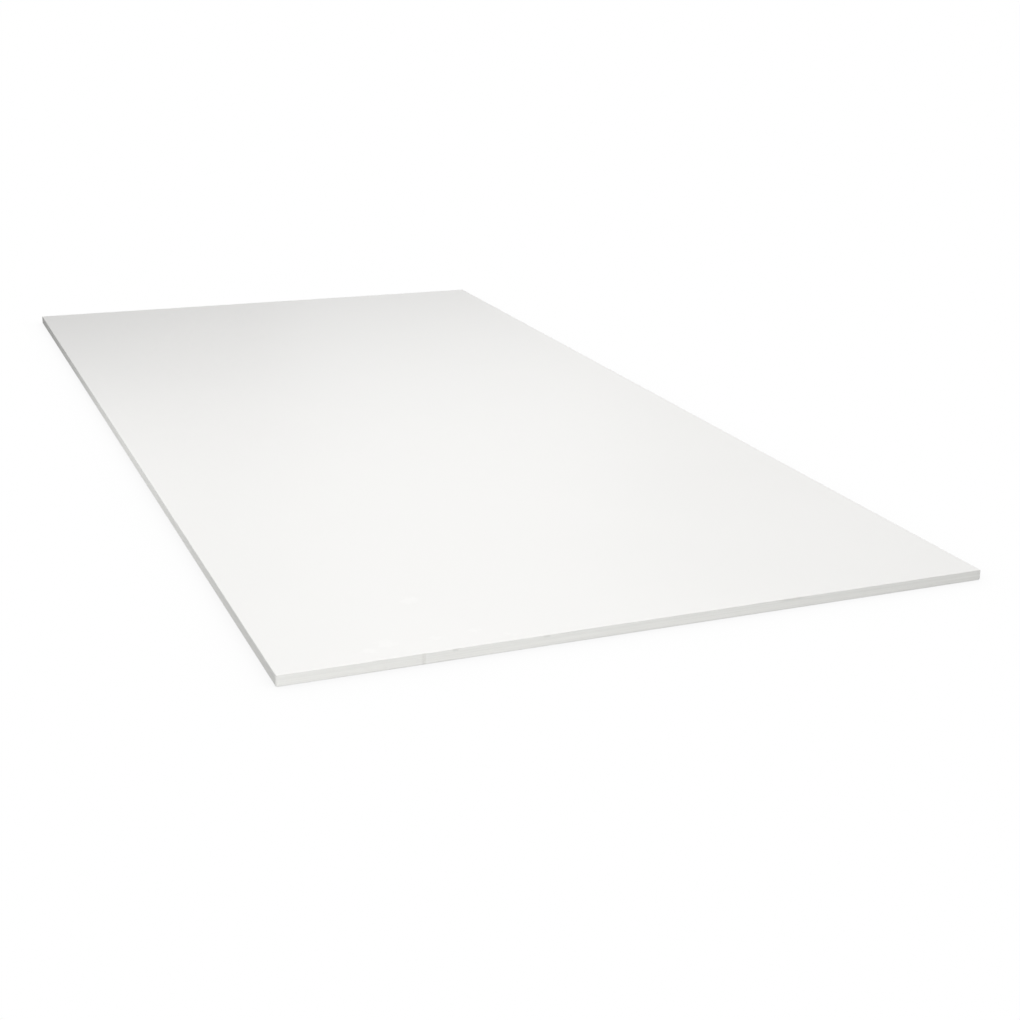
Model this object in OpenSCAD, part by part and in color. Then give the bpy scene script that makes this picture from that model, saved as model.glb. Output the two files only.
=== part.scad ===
// White-finished plywood sheet, stocked for building work.
// One flat rectangular board. Both faces and all four edges carry the same
// white coating, the arrises are sanded round and the corners are eased.
// The sheet lies flat with its length along Y. The origin is the middle of
// its underside.

/* [Sheet] */
// Width across the short side
sheet_w = 1220; // [300:1:1525]
// Length along the long side
sheet_l = 2440; // [600:1:3660]
// Thickness between the two faces
sheet_t = 18; // [9:0.5:40]

/* [Edges] */
// Radius of the sanded arris, where a face meets an edge
arris_r = 1.5; // [0.5:0.1:2.5]
// Radius of the eased corner, where two edges meet in plan
corner_r = 3; // [2.6:0.1:12]

/* [Hidden] */
// Facets of a full circle on the arrises and corners
$fn = 96;
// Distance between the corner axes, across the sheet and along it
axis_span_w = sheet_w - 2 * corner_r;
axis_span_l = sheet_l - 2 * corner_r;

// What sanding takes off one arris, at the origin: a square corner less
// the quarter circle that is left.
module arris_waste() {
    difference() {
        square(arris_r);
        translate([arris_r, arris_r]) circle(arris_r);
    }
}

// Section of the rim, from the corner axis at x = 0 out to the edge.
// It is as thick as the sheet, with its upper and lower arris rounded.
module rim_section() {
    difference() {
        square([corner_r, sheet_t]);
        translate([corner_r, 0]) mirror([1, 0]) arris_waste();
        translate([corner_r, sheet_t]) rotate(180) arris_waste();
    }
}

// A straight length of the rim, centred on the X axis and facing +X
module rim_side(length) {
    translate([0, length / 2, 0]) rotate([90, 0, 0]) linear_extrude(length) rim_section();
}

// A quarter turn of the rim, from +X round to +Y
module rim_corner() {
    rotate_extrude(angle = 90) rim_section();
}

// The long edge facing +X and the corner that follows it, then the short
// edge facing +Y and its corner. A half turn of these makes the whole rim.
module half_rim() {
    translate([axis_span_w / 2, 0, 0]) rim_side(axis_span_l);
    translate([axis_span_w / 2, axis_span_l / 2, 0]) rim_corner();
    translate([0, axis_span_l / 2, 0]) rotate(90) rim_side(axis_span_w);
    translate([-axis_span_w / 2, axis_span_l / 2, 0]) rotate(90) rim_corner();
}

// The board: a flat field between the corner axes, closed by the rim
module sheet() {
    color("whitesmoke") union() {
        translate([-axis_span_w / 2, -axis_span_l / 2, 0])
            cube([axis_span_w, axis_span_l, sheet_t]);
        for (turn = [0, 180]) rotate(turn) half_rim();
    }
}

sheet();
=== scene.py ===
# %% [markdown]
# # A white-finished plywood sheet, lying flat
# The sheet is one piece of building stock: a flat board, white on its faces and edges.
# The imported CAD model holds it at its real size, and every length below is worked out
# from that model, in metres. This lesson makes the looks around it: the camera, a plain
# studio, a finer mesh of the board with its handling marks, and the white coating.

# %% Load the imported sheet
import math

import bmesh
import bpy
from mathutils import Matrix, Vector, noise


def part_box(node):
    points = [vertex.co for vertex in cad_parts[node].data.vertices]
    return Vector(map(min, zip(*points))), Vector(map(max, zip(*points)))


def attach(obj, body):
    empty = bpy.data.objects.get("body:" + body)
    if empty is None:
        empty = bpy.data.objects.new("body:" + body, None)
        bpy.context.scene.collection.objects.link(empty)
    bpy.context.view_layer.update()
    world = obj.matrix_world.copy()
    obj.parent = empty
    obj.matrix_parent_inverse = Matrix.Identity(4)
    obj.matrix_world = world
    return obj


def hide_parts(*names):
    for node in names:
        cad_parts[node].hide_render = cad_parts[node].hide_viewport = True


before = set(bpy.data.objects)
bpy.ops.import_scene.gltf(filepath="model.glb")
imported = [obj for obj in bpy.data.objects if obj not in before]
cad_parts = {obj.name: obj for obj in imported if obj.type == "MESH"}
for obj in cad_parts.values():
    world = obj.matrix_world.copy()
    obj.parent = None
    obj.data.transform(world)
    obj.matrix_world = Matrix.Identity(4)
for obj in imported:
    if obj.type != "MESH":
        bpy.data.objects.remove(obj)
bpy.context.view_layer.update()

MM = 0.001
low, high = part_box("sheet")
width, length, thickness = high - low
print(f"sheet {width:.3f} x {length:.3f} x {thickness:.3f} m")

# %% [markdown]
# ## Roundings
# On the real board the sharp arrises are sanded off and the corners are eased. Their radii
# could be typed in again, but then two files would have to agree. The CAD mesh already
# knows them: the flat of the right-hand edge stops one arris radius above the underside,
# and one corner radius short of the board's end. So they are measured there.

# %% Measure the arris and corner radii
TOUCHING = 1e-6
cad_points = [vertex.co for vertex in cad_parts["sheet"].data.vertices]
right_flat = [point for point in cad_points if high.x - point.x < TOUCHING]
arris_radius = min(point.z for point in right_flat) - low.z
corner_radius = high.y - max(point.y for point in right_flat)
print(f"arris radius {arris_radius / MM:.2f} mm, corner radius {corner_radius / MM:.2f} mm")

# %% [markdown]
# ## Camera
# The photograph looks down on the sheet from its front left corner. A camera was fitted to
# the board's outline and to the four corners of the upper face, which gives its direction, its
# distance from the point on the face that it aims at, a slight roll, and its focal length in
# pixels. Blender wants the focal length in millimetres on a sensor, so it is scaled by sensor
# width over picture width. A shifted lens could fit a pixel better, but the shift would also
# move the board off centre in every other view, so the lens stays unshifted.

# %% Place the camera
PICTURE_PX = 1020
FOCAL_PX = 1638.5
SENSOR_MM = 36.0
VIEW_AZIMUTH = math.radians(-22.951)
VIEW_ELEVATION = math.radians(19.206)
VIEW_ROLL = math.radians(1.181)
VIEW_DISTANCE = 3.0076
aim = Vector((-0.0237, -0.6722, high.z))

backwards = Vector((
    math.sin(VIEW_AZIMUTH) * math.cos(VIEW_ELEVATION),
    -math.cos(VIEW_AZIMUTH) * math.cos(VIEW_ELEVATION),
    math.sin(VIEW_ELEVATION),
))
lens = bpy.data.cameras.new("photo_camera")
lens.sensor_width = SENSOR_MM
lens.lens = FOCAL_PX * SENSOR_MM / PICTURE_PX
camera = bpy.data.objects.new("photo_camera", lens)
camera.location = aim + backwards * VIEW_DISTANCE
facing = (-backwards).to_track_quat("-Z", "Y").to_matrix() @ Matrix.Rotation(VIEW_ROLL, 3, "Z")
camera.rotation_euler = facing.to_euler()
bpy.context.scene.collection.objects.link(camera)
bpy.context.scene.camera = camera
print(f"camera {camera.location.z:.2f} m above the floor, {lens.lens:.1f} mm lens")

# %% [markdown]
# ## Corners in the picture
# Whether the camera stands right can be told without a render. A point of the sheet is turned
# into the camera's own axes. How far it lies to the side, over how far it lies ahead, times the
# focal length in pixels, is its distance from the picture's middle. The four corners of the
# upper face are printed, to be read against the photograph.

# %% Find the corners in the picture
def pixel_of(point):
    """Where a point lands in the picture, counted from the top left corner."""
    seen = facing.transposed() @ (point - camera.location)
    middle = PICTURE_PX / 2
    return middle - FOCAL_PX * seen.x / seen.z, middle + FOCAL_PX * seen.y / seen.z


for name, x, y in (
    ("front left", low.x, low.y),
    ("front right", high.x, low.y),
    ("back left", low.x, high.y),
    ("back right", high.x, high.y),
):
    across, down = pixel_of(Vector((x, y, high.z)))
    print(f"{name} corner at pixel {across:.1f}, {down:.1f}")

# %% [markdown]
# ## Sums with sockets
# A finish is a net of shader nodes. Adding and linking them one by one hides the sums that
# they stand for, so this small class wraps an output socket and lets Python write the sums:
# a plus sign between two wires adds a Math node. Colours go through a Mix node, because a
# Math node would turn them grey. Every other node comes from the method `node`.

# %% Wrap a socket
class Wire:
    """An output socket of a node tree. Sums on wires add Math nodes to the tree."""

    def __init__(self, tree, socket=None):
        self.tree = tree
        self.socket = socket

    def node(self, kind, settings=None, sockets=None, output=0):
        """Add a node, make its settings, then fill or link its sockets."""
        made = self.tree.nodes.new("ShaderNode" + kind)
        for name, value in (settings or {}).items():
            setattr(made, name, value)
        for key, value in (sockets or {}).items():
            if isinstance(value, Wire):
                self.tree.links.new(value.socket, made.inputs[key])
            else:
                made.inputs[key].default_value = value
        return Wire(self.tree, made.outputs[output] if made.outputs else None)

    def math(self, operation, first, second=0.0):
        return self.node("Math", {"operation": operation}, {0: first, 1: second})

    def __add__(self, other):
        return self.math("ADD", self, other)

    def __radd__(self, other):
        return self.math("ADD", other, self)

    def __sub__(self, other):
        return self.math("SUBTRACT", self, other)

    def __rsub__(self, other):
        return self.math("SUBTRACT", other, self)

    def __mul__(self, other):
        return self.math("MULTIPLY", self, other)

    def __rmul__(self, other):
        return self.math("MULTIPLY", other, self)

    def __abs__(self):
        return self.math("ABSOLUTE", self)

    def ramp(self, start, end):
        """0 below start, 1 above end, and a smooth step between them."""
        ends = {"Value": self, "From Min": start, "From Max": end}
        return self.node("MapRange", {"interpolation_type": "SMOOTHSTEP"}, ends)

    def tint(self, start, end):
        """A colour that goes from start to end as this value goes from 0 to 1."""
        return self.node("Mix", {"data_type": "RGBA"}, {0: self, 6: start, 7: end}, 2)


print("wires can add, subtract, multiply, ramp and tint")

# %% [markdown]
# ## White of the floor
# The sheet lies on a plain white floor. A floor that is only lit is never quite white, and
# more light would bleach the sheet. So rays that come straight from the camera, or by way of
# a gloss or a glass, see the floor glow at a strength of 1, which is white. An Ambient
# Occlusion node measures how much of the sky the board's edge hides from each point of the
# floor, and dims the glow there, so the board keeps its soft shadow. All other rays see a
# plain matt floor, so the glow lights nothing.

# %% Mix the floor's white
SHADOW_DEPTH = 0.15
SHADOW_REACH = 0.12
FLOOR_BOUNCE = 0.6
WHITE = (1.0, 1.0, 1.0, 1.0)


def grey(level):
    return level, level, level, 1.0


def seen_directly(tree):
    """1 for rays that show the surround itself: from the camera, a gloss or a glass."""
    start = Wire(tree)
    straight = start.node("LightPath", output="Is Camera Ray")
    glossed = start.node("LightPath", output="Is Glossy Ray")
    through = start.node("LightPath", output="Is Transmission Ray")
    return start.math("MAXIMUM", straight, start.math("MAXIMUM", glossed, through))


floor_paint = bpy.data.materials.new("studio_floor")
floor_paint.use_nodes = True
floor_paint.node_tree.nodes.clear()
floor_paint.cycles.emission_sampling = "NONE"
shown = seen_directly(floor_paint.node_tree)
open_sky = shown.node("AmbientOcclusion", sockets={"Distance": SHADOW_REACH}, output="AO")
shade = (1 - open_sky).tint(WHITE, grey(1 - SHADOW_DEPTH))
glow = shown.node("Emission", sockets={"Color": shade, "Strength": 1.0})
matt = shown.node("BsdfDiffuse", sockets={"Color": grey(FLOOR_BOUNCE)})
either = shown.node("MixShader", sockets={0: shown, 1: matt, 2: glow})
shown.node("OutputMaterial", sockets={"Surface": either})
print(f"the floor is white, and at most {SHADOW_DEPTH:.0%} darker beside the board")

# %% [markdown]
# ## Floor
# The floor is one square face, level with the board's underside. It could curve up behind the
# sheet, as a studio's paper roll does, but the surround is just as white, so the floor's far
# rim can't be seen anyway.

# %% Lay the floor
FLOOR_SPAN = 60.0
floor_half = FLOOR_SPAN / 2
floor_mesh = bpy.data.meshes.new("studio_floor")
floor_corners = [
    (-floor_half, -floor_half, low.z),
    (floor_half, -floor_half, low.z),
    (floor_half, floor_half, low.z),
    (-floor_half, floor_half, low.z),
]
floor_mesh.from_pydata(floor_corners, [], [(0, 1, 2, 3)])
floor_mesh.materials.append(floor_paint)
floor = bpy.data.objects.new("studio_floor", floor_mesh)
bpy.context.scene.collection.objects.link(floor)
print(f"floor {FLOOR_SPAN:.0f} m square")

# %% [markdown]
# ## Surround
# Beyond the floor the studio is a white tent. It is seen as white by the same rays as the
# floor, and it gives the sheet only a little light from all round, so that no side of the
# board goes dark. The Standard view transform shows each colour as it is written.

# %% Hang the white surround
AMBIENT = 0.1
world = bpy.data.worlds.new("white_surround")
world.use_nodes = True
world.node_tree.nodes.clear()
shown = seen_directly(world.node_tree)
dim = shown.node("Background", sockets={"Color": WHITE, "Strength": AMBIENT})
white = shown.node("Background", sockets={"Color": WHITE, "Strength": 1.0})
either = shown.node("MixShader", sockets={0: shown, 1: dim, 2: white})
shown.node("OutputWorld", sockets={"Surface": either})
bpy.context.scene.world = world
bpy.context.scene.view_settings.view_transform = "Standard"
print(f"surround lights the sheet at {AMBIENT}")

# %% [markdown]
# ## Lamps
# Soft studio light comes from large lamps. Here they are square area lamps, each turned to
# a point of the sheet, as soft boxes are on their stands. The photograph is brightest at the
# front left corner and falls off to the back, so the key lamp stands at the front left. A
# big box overhead evens the face. Low boxes in front, on the left and behind lift those three
# edges, one on the right fills that side, and a weak one far behind the sheet draws a faint
# sheen towards the camera. Each box lights the sheet in proportion to its power, so the powers
# could be fitted to the brightness of the photograph, box by box. The boxes at the sides
# would mirror in the face as bleached patches when it is seen from the other side. A
# photographer would hang polarising filters on them, and here they are hidden from glossy
# rays. Only the overhead box and the sheen box are mirrored.

# %% Hang the soft boxes
def soft_box(name, place, target, size, power, mirrored=False):
    """A square lamp of the given size in metres and power in watts, turned to its target."""
    lamp = bpy.data.lights.new(name, "AREA")
    lamp.shape = "SQUARE"
    lamp.size = size
    lamp.energy = power
    box = bpy.data.objects.new(name, lamp)
    box.location = place
    box.visible_glossy = mirrored
    box.rotation_euler = (Vector(target) - Vector(place)).to_track_quat("-Z", "Y").to_euler()
    bpy.context.scene.collection.objects.link(box)
    print(f"{name}: {power:.1f} W, {size:.1f} m square")


LEFT_ALONG = -0.1
middle = (0.0, 0.0, 0.0)
near_middle = (0.0, low.y / 2, 0.0)
front_middle = (0.0, low.y, 0.0)
left_middle = (low.x, LEFT_ALONG, 0.0)
back_middle = (0.0, high.y, 0.0)
SHEEN_DISTANCE = 4.0
SHEEN_ELEVATION = math.radians(20)
sheen_place = (
    -math.sin(VIEW_AZIMUTH) * math.cos(SHEEN_ELEVATION) * SHEEN_DISTANCE,
    math.cos(VIEW_AZIMUTH) * math.cos(SHEEN_ELEVATION) * SHEEN_DISTANCE,
    math.sin(SHEEN_ELEVATION) * SHEEN_DISTANCE,
)
sheen_middle = (0.0, low.y / 3, 0.0)
soft_box("overhead_box", (0.0, 0.0, 3.0), middle, 2.0, 42.2, mirrored=True)
soft_box("key_box", (-1.0, -3.1, 2.6), near_middle, 1.5, 55.4)
soft_box("front_box", (-1.2, -3.9, 0.9), front_middle, 1.5, 28.6)
soft_box("left_box", (-1.7, LEFT_ALONG, 0.4), left_middle, 0.6, 5.3)
soft_box("right_box", (3.0, 0.0, 2.4), middle, 1.5, 34.4)
soft_box("back_box", (0.4, 4.2, 0.3), back_middle, 0.5, 24.0)
soft_box("sheen_box", sheen_place, sheen_middle, 1.6, 4.3, mirrored=True)

# %% [markdown]
# ## Handling marks
# Stock like this gets knocked as it is stacked and carried. The photograph shows a fine
# crack down the coating of the front edge, and three shallow bruises just below its upper
# arris, where the coating is crushed and darker. Each is given by its distance
# from the front edge's left end and by its span. They could be painted on, but a dent has to
# catch the light, so they are pressed into the mesh as well.

# %% Measure the marks along the front edge
crack_middle = low.x + 222.7 * MM
CRACK_HALF = 3.8 * MM
CRACK_DEPTH = 0.3 * MM
CRACK_DARKENING = 0.85
BRUISE_DROP = 1.8 * MM
BRUISE_REACH = 2.6 * MM
BRUISE_DEPTH = 0.25 * MM
bruises = [
    (low.x + from_left * MM, span * MM / 2)
    for from_left, span in ((272, 13), (419.5, 15), (850, 54))
]


def bell(offset, half):
    """1 in the middle, with a broad top, falling smoothly to 0 at half and beyond."""
    share = min(abs(offset) / half, 1.0)
    return (1 - share ** 4) ** 2


for bruise_middle, half in bruises:
    from_left = (bruise_middle - low.x) / MM
    print(f"bruise {2 * half / MM:.0f} mm long, {from_left:.0f} mm from the left end")

# %% [markdown]
# ## Section of the rim
# A board with rounded arrises could be a cube with a bevel modifier, but the marks need a
# fine mesh in a few places only. So the mesh is drawn as a joiner would describe the board:
# a section of its rim, swept round the outline, and two flat fields that close it. The
# section runs from the upper face over the rounded arris, down the edge and under the board.

# %% Draw the rim's section
QUARTER = math.radians(90)
ARRIS_STEPS = 8
EDGE_STEPS = 15


def rim_section():
    """(reach, height) pairs, from the corner axis out over both arrises and back to the axis."""
    inner = corner_radius - arris_radius
    upper = [(0.0, thickness)]
    for step in range(ARRIS_STEPS + 1):
        turn = QUARTER * step / ARRIS_STEPS
        upper.append((
            inner + arris_radius * math.sin(turn),
            thickness - arris_radius * (1 - math.cos(turn)),
        ))
    flat = thickness - 2 * arris_radius
    edge = [
        (corner_radius, thickness - arris_radius - flat * step / EDGE_STEPS)
        for step in range(1, EDGE_STEPS)
    ]
    lower = [(reach, thickness - height) for reach, height in reversed(upper)]
    return upper + edge + lower


section = rim_section()
print(f"{len(section)} points in the rim's section")

# %% [markdown]
# ## Places along the sides
# The section is repeated at places along each side. One even spacing would need thousands
# of places to show a mark a few millimetres wide. So most lie a pitch apart, and each mark
# on the front edge gets a close set of its own. The back edge takes the same places, because
# the flat fields run from one to the other.

# %% Space the places along the sides
PITCH = 30 * MM
FINE_STEPS = 8
half_width = width / 2 - corner_radius
half_length = length / 2 - corner_radius


def spaced(half):
    """Places from -half to half, about one pitch apart."""
    count = math.ceil(2 * half / PITCH)
    return [half * (2 * step / count - 1) for step in range(count + 1)]


fine = []
for mark_middle, half in [(crack_middle, CRACK_HALF)] + bruises:
    fine += [mark_middle + half * step / FINE_STEPS for step in range(-FINE_STEPS, FINE_STEPS + 1)]
coarse = [
    place for place in spaced(half_width)
    if min(abs(place - other) for other in fine) > PITCH / 4
]
columns = sorted(coarse + fine)
rows = spaced(half_length)
print(f"{len(columns)} places across the sheet and {len(rows)} along it")

# %% [markdown]
# ## Outline
# The walk round the board goes anticlockwise, and each stop on it is a station: a point of
# the corner axes' rectangle and the angle that the rim faces there. A corner is a few
# stations at one point, turning from one side to the next. Each run is one side with the
# corner after it, and ends where the next run begins.

# %% Walk round the outline
CORNER_STEPS = 8


def outline_runs():
    """Four lists of (x, y, outward angle), starting at the left end of the front edge."""
    sides = (
        [(x, -half_length) for x in columns],
        [(half_width, y) for y in rows],
        [(x, half_length) for x in reversed(columns)],
        [(-half_width, y) for y in reversed(rows)],
    )
    runs = []
    for number, side in enumerate(sides):
        outward = QUARTER * (number - 1)
        run = [(x, y, outward) for x, y in side]
        x, y = side[-1]
        for step in range(1, CORNER_STEPS + 1):
            run.append((x, y, outward + QUARTER * step / CORNER_STEPS))
        runs.append(run)
    return runs


runs = outline_runs()
print(f"{sum(len(run) for run in runs)} stations in {len(runs)} runs")

# %% [markdown]
# ## Marks in the rim
# A sander held in the hand takes a little more off the arris in some places than in others,
# and without that the board looks moulded. Smooth noise along the arris gives it. The marks
# are pressed in the same way, each as a bell: deepest in its middle and gone at its ends. They
# also fade where the rim turns in to the face, so that the face stays flat. Every point also
# remembers, from 0 to 1, how much darker its colour is made, which is most in the marks.

# %% Press the marks into the rim
SANDING_DEPTH = 0.25 * MM
SANDING_SPAN = 0.11
SANDING_DROP = 5.5 * MM
STRAIGHT_ON = 0.999


def rim_point(station, reach, height):
    """A point of the rim with its marks, and how much darker its colour is made, from 0 to 1."""
    x, y, angle = station
    outward = Vector((math.cos(angle), math.sin(angle), 0.0))
    point = Vector((x, y, low.z + height)) + outward * reach
    drop = thickness - height
    outermost = reach / corner_radius
    sanded = bell((1 - outermost) + drop / SANDING_DROP, 1.0)
    inset = SANDING_DEPTH * sanded * (0.5 + 0.5 * noise.noise(point / SANDING_SPAN))
    darkening = 0.0
    if -outward.y > STRAIGHT_ON:
        crushed = bell(drop - BRUISE_DROP, BRUISE_REACH) * outermost ** 2
        darkening = crushed * max(bell(x - bruise_middle, half) for bruise_middle, half in bruises)
        split = bell(x - crack_middle, CRACK_HALF) * outermost ** 4
        inset += BRUISE_DEPTH * darkening + CRACK_DEPTH * split
        darkening = max(darkening, CRACK_DARKENING * split)
    return point - outward * inset, darkening


print(f"the arris is sanded up to {SANDING_DEPTH / MM:.2f} mm unevenly")

# %% [markdown]
# ## Map of the surface
# A finish made of nodes leaves Blender as pictures, and a map says where each face of the
# mesh lies on them. Blender can unwrap a mesh by itself, but an edge 18 mm high beside a
# face 2440 mm long would get a few pixels only. So the map is laid out here: two
# wide columns for the fields, and four narrow ones in which the rim is drawn three times
# higher than it is. The export bakes through a map that has the name given here.

# %% Lay out the map
MAP_NAME = "OFBake"
MAP_GAP = 0.004
RIM_SPAN = 0.03
FIELD_SPAN = (1 - 4 * RIM_SPAN - 7 * MAP_GAP) / 2
field_starts = [MAP_GAP + number * (FIELD_SPAN + MAP_GAP) for number in range(2)]
rims_start = field_starts[-1] + FIELD_SPAN + MAP_GAP
rim_starts = [rims_start + number * (RIM_SPAN + MAP_GAP) for number in range(4)]


def travelled(points):
    """How far along a line of points each of them lies."""
    places = [0.0]
    for point, following in zip(points, points[1:]):
        places.append(places[-1] + math.dist(point, following))
    return places


def stretched(places, start, span):
    """The same places, moved and scaled to begin at start and cover span."""
    scale = span / (places[-1] - places[0])
    return [start + (place - places[0]) * scale for place in places]


print(f"a field takes {FIELD_SPAN:.2f} of the map's width, each side of the rim {RIM_SPAN:.2f}")

# %% [markdown]
# ## Grids
# The rim and the fields are all grids: lines of points with a face between each four
# neighbours. Blender can add a grid of its own, but its points would then have to be moved one
# by one. So one function makes them all in a bmesh, with their places on the map. Two layers
# go with the mesh: how much darker each point's colour is made, and the map.

# %% Make a grid of faces
board_mesh = bmesh.new()
darkening_layer = board_mesh.verts.layers.float.new("darkening")
map_layer = board_mesh.loops.layers.uv.new(MAP_NAME)


def add_grid(points, across, along):
    """Faces between lines of (point, soiled). A line lies across the map, the next one along it."""
    lines = []
    for line in points:
        made = []
        for point, darkening in line:
            vertex = board_mesh.verts.new(point)
            vertex[darkening_layer] = darkening
            made.append(vertex)
        lines.append(made)
    for row in range(len(lines) - 1):
        for column in range(len(across) - 1):
            corners = [(row, column), (row, column + 1), (row + 1, column + 1), (row + 1, column)]
            face = board_mesh.faces.new([lines[j][i] for j, i in corners])
            face.smooth = True
            for loop, (j, i) in zip(face.loops, corners):
                loop[map_layer].uv = across[i], along[j]


print(f"the mesh has the layers {darkening_layer.name} and {map_layer.name}")

# %% [markdown]
# ## Mesh
# Two fields and four runs of the rim make the whole board. They could be kept as six meshes,
# but the light would show the joints between them. So their seams are welded and the normals
# turned outwards. A mesh with no open edges, and about the CAD model's volume, is sound.

# %% Build the board's mesh
WELD = 0.01 * MM


def outer_point(station):
    """Where the rim stands furthest out at a station, seen from above."""
    x, y, angle = station
    return x + corner_radius * math.cos(angle), y + corner_radius * math.sin(angle)


whole_height = (MAP_GAP, 1 - 2 * MAP_GAP)
for start, height in zip(field_starts, (high.z, low.z)):
    field = [[(Vector((x, y, height)), 0.0) for x in columns] for y in rows]
    add_grid(field, stretched(columns, start, FIELD_SPAN), stretched(rows, *whole_height))
for start, run in zip(rim_starts, runs):
    side = [[rim_point(station, *pair) for pair in section] for station in run]
    across = stretched(travelled(section), start, RIM_SPAN)
    along = stretched(travelled([outer_point(station) for station in run]), *whole_height)
    add_grid(side, across, along)
bmesh.ops.remove_doubles(board_mesh, verts=board_mesh.verts, dist=WELD)
bmesh.ops.recalc_face_normals(board_mesh, faces=board_mesh.faces)
open_edges = sum(not edge.is_manifold for edge in board_mesh.edges)
print(f"{len(board_mesh.faces)} faces, {open_edges} open edges, {board_mesh.calc_volume():.5f} m3")
mesh = bpy.data.meshes.new("board")
board_mesh.to_mesh(mesh)
board_mesh.free()
board = bpy.data.objects.new("board", mesh)
bpy.context.scene.collection.objects.link(board)

# %% [markdown]
# ## Patterns in the coating
# The white coating is satin on the faces and nearly matt on the edges, where it soaks into
# the sawn plies. One flat colour would look like a paper cut-out, so the coating gets
# what a roller leaves: a faint mottle and a fine stipple, and streaks along the edges, where
# the plies just show through. All of them are noise textures, measured in metres on the
# board itself, so they keep their scale in any view.

# %% Lay out the coating's patterns
MOTTLE_PATCH = 350 * MM
STIPPLE_PATCH = 2.2 * MM
STREAK_WIDTH = 1.2 * MM
STREAK_STRETCH = 200.0
coating = bpy.data.materials.new("white_coating")
coating.use_nodes = True
coating.node_tree.nodes.clear()
paint = Wire(coating.node_tree)
place = paint.node("TexCoord", output="Object")


def cloud(size, detail=2.0, stretch=(1.0, 1.0, 1.0)):
    """Smooth noise round 0.5. Its patches are about this size in metres, times the stretch."""
    cell = [1 / (size * factor) for factor in stretch]
    scaled = place.node("VectorMath", {"operation": "MULTIPLY"}, {0: place, 1: cell})
    return place.node("TexNoise", sockets={"Vector": scaled, "Scale": 1.0, "Detail": detail})


mottle = cloud(MOTTLE_PATCH)
stipple = cloud(STIPPLE_PATCH)
streaks = cloud(STREAK_WIDTH, stretch=(STREAK_STRETCH, STREAK_STRETCH, 1.0))
print(f"patterns take {len(coating.node_tree.nodes)} nodes")

# %% [markdown]
# ## Edges, arris and marks
# The shape tells where each colour goes. How flat the surface lies tells a face from an edge: the
# upright part of its normal is 1 on a face, 0 on an edge, and between the two on the arris. A
# band that is 1 near the top of the board and 0 towards its foot puts painted shade on the upper
# arris and painted light low on the edges. The mesh remembers how much darker the marks are.

# %% Find the edges and the arris
TOWARD_TOP_NEAR = 3 * MM
TOWARD_TOP_FAR = 14 * MM
FACE_BEGINS = (0.3, 0.9)
ARRIS_BEGINS = (0.05, 0.4)
ARRIS_ENDS = (0.9, 0.995)
normal = paint.node("NewGeometry", output="Normal")
upwards = paint.node("SeparateXYZ", sockets={"Vector": normal}, output="Z")
flatness = abs(upwards)
edge = 1 - flatness.ramp(*FACE_BEGINS)
above = paint.node("SeparateXYZ", sockets={"Vector": place}, output="Z")
# 1 near the top of the board and 0 towards its foot: it places the painted shade on the arris and
# the painted light low on the edges.
toward_top = above.ramp(high.z - TOWARD_TOP_FAR, high.z - TOWARD_TOP_NEAR)
arris = toward_top * flatness.ramp(*ARRIS_BEGINS) * (1 - flatness.ramp(*ARRIS_ENDS))
darkening = paint.node("Attribute", {"attribute_name": "darkening"}, output="Fac")
print(f"finding the wear takes {len(coating.node_tree.nodes)} nodes so far")

# %% [markdown]
# ## Scuffs
# Near the front left corner, things set down on the board have left six faint pale scuffs.
# They are too shallow for the mesh, so they are spots in the finish: each is given by its
# distances from the left and front edges and by its span. A round spot would look stamped, so
# noise is added to the distance from the spot's middle, which frays its outline.

# %% Place the scuffs
FRAY = 40 * MM
FRAY_PATCH = 9 * MM
SCUFF_CORE = 0.2
SCUFF_RIM = 0.6
SCUFF_SPOTS = (
    (269, 201, 30),
    (183, 53, 34),
    (151, 36, 22),
    (323, 54, 20),
    (258, 46, 20),
    (368, 25, 14),
)
fraying = FRAY * (cloud(FRAY_PATCH, 3.0) - 0.5)


def scuff(from_left, from_front, span):
    """1 in the middle of a frayed spot on the upper face, 0 away from it. All in millimetres."""
    spot = (low.x + from_left * MM, low.y + from_front * MM, high.z)
    away = paint.node("VectorMath", {"operation": "DISTANCE"}, {0: place, 1: spot}, "Value")
    return 1 - (away + fraying).ramp(SCUFF_CORE * span * MM, SCUFF_RIM * span * MM)


scuffs = sum(scuff(*spot) for spot in SCUFF_SPOTS)
print(f"{len(SCUFF_SPOTS)} scuffs, {len(coating.node_tree.nodes)} nodes so far")
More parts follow.
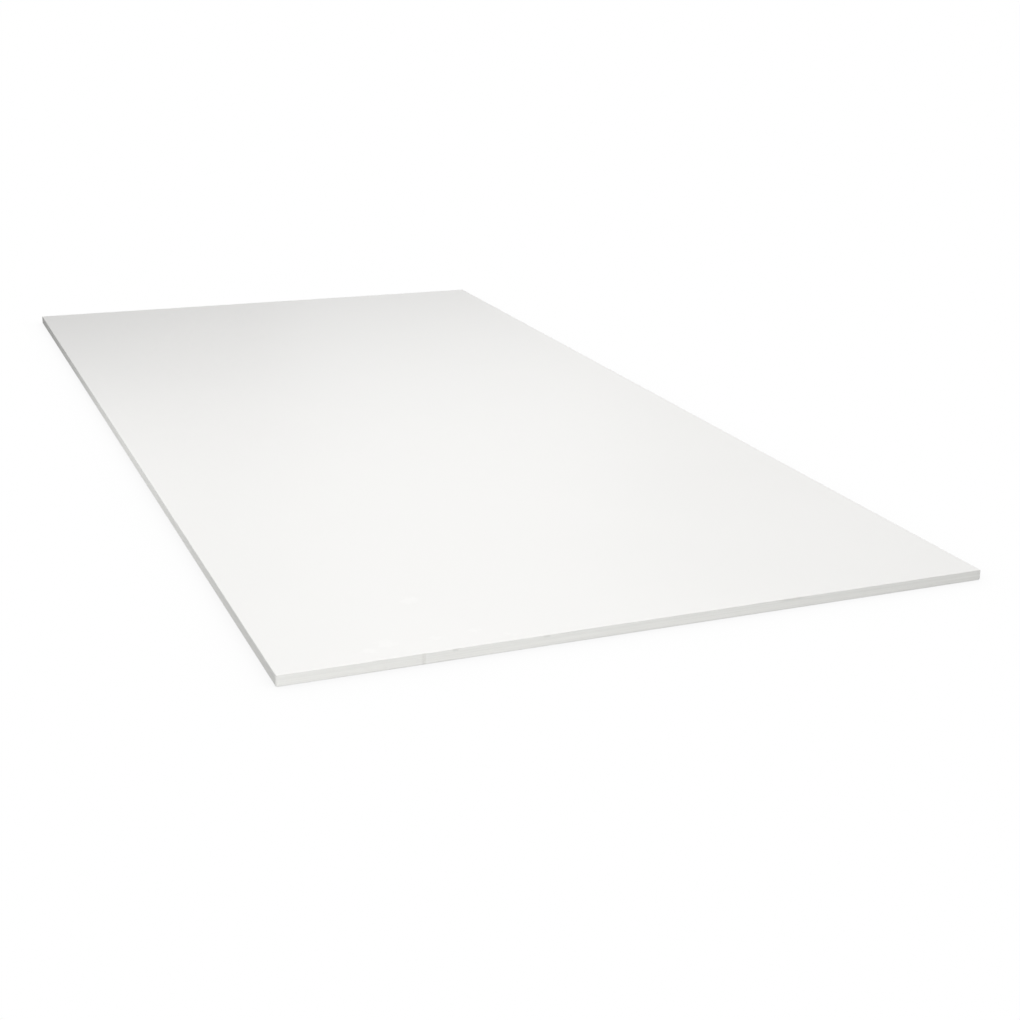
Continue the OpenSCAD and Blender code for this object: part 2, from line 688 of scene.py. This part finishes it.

# %% [markdown]
# ## Colour
# White paint is never pure white: it sends back about 87 % of the light, and a touch less of
# the blue. The mottle moves the face's colour by less than a percent. The edges are a little
# darker, since the coating is thinner there, and painted light makes them paler towards their
# foot. Painted shade darkens the upper arris unevenly, dimming the highlight its rounding
# catches, and the marks are darker too. The colours are laid over each other: first the clean
# coating, then the painted shade on the arris, and the darkened marks last.

# %% Mix the colour
FACE_DEEP = (0.868, 0.863, 0.848, 1.0)
FACE_PALE = (0.876, 0.871, 0.856, 1.0)
SCUFF_PALE = (0.894, 0.889, 0.875, 1.0)
EDGE_DEEP = (0.79, 0.79, 0.765, 1.0)
EDGE_PALE = (0.87, 0.87, 0.845, 1.0)
ARRIS_SHADE = (0.70, 0.695, 0.675, 1.0)
MARK_DARK = (0.62, 0.61, 0.58, 1.0)
NOISE_SPREAD = (0.3, 0.7)
STREAK_SHARE = 0.6
ARRIS_SHADE_PATCH = 60 * MM
ARRIS_SHADE_SPREAD = (0.1, 0.9)
MARK_DARK_SHARE = 0.36
face_colour = scuffs.tint(mottle.ramp(*NOISE_SPREAD).tint(FACE_DEEP, FACE_PALE), SCUFF_PALE)
# Painted light: the edge colour gets paler towards the foot, where the edges would otherwise be in
# shade. The rest of the paleness is the random streaks.
streaks_and_painted_light = STREAK_SHARE * streaks.ramp(*NOISE_SPREAD) + (1 - STREAK_SHARE) * (1 - toward_top)
edge_colour = streaks_and_painted_light.tint(EDGE_DEEP, EDGE_PALE)
clean_colour = edge.tint(face_colour, edge_colour)
# Painted shade: the upper arris is made darker, unevenly, which dims the highlight that its
# rounding catches.
arris_shaded_colour = (arris * cloud(ARRIS_SHADE_PATCH).ramp(*ARRIS_SHADE_SPREAD)).tint(clean_colour, ARRIS_SHADE)
# The crack and the bruises are made darker by the share that the mesh remembers.
colour = (darkening * MARK_DARK_SHARE).tint(arris_shaded_colour, MARK_DARK)
print(f"face between {FACE_DEEP[0]} and {FACE_PALE[0]} of the light")

# %% [markdown]
# ## Gloss and relief
# Roughness sets the gloss: the faces are satin, the scuffs a little duller and the edges
# nearly matt. The relief is the roller's stipple on the faces, two hundredths of a millimetre
# high, and the streaks on the edges. Both are far too fine for the mesh, so a Bump node tilts
# the normals instead.

# %% Join the coating
FACE_ROUGHNESS = 0.42
EDGE_ROUGHNESS = 0.9
STIPPLE_HEIGHT = 0.02 * MM
STREAK_HEIGHT = 0.06 * MM
MOTTLE_ROUGHNESS = 0.06
SCUFF_ROUGHNESS = 0.08
roughness = FACE_ROUGHNESS + (EDGE_ROUGHNESS - FACE_ROUGHNESS) * edge
roughness = roughness + MOTTLE_ROUGHNESS * (mottle - 0.5) + SCUFF_ROUGHNESS * scuffs
relief = (1 - edge) * stipple * STIPPLE_HEIGHT + edge * streaks * STREAK_HEIGHT
bumped = paint.node("Bump", sockets={"Height": relief, "Distance": 1.0, "Strength": 1.0})
surface = paint.node("BsdfPrincipled", sockets={
    "Base Color": colour,
    "Roughness": roughness,
    "Normal": bumped,
})
paint.node("OutputMaterial", sockets={"Surface": surface})
mesh.materials.append(coating)
print(f"coating of {len(coating.node_tree.nodes)} nodes")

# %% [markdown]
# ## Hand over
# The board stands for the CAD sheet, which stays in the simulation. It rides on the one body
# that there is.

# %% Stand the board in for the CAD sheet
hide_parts("sheet")
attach(board, "root")
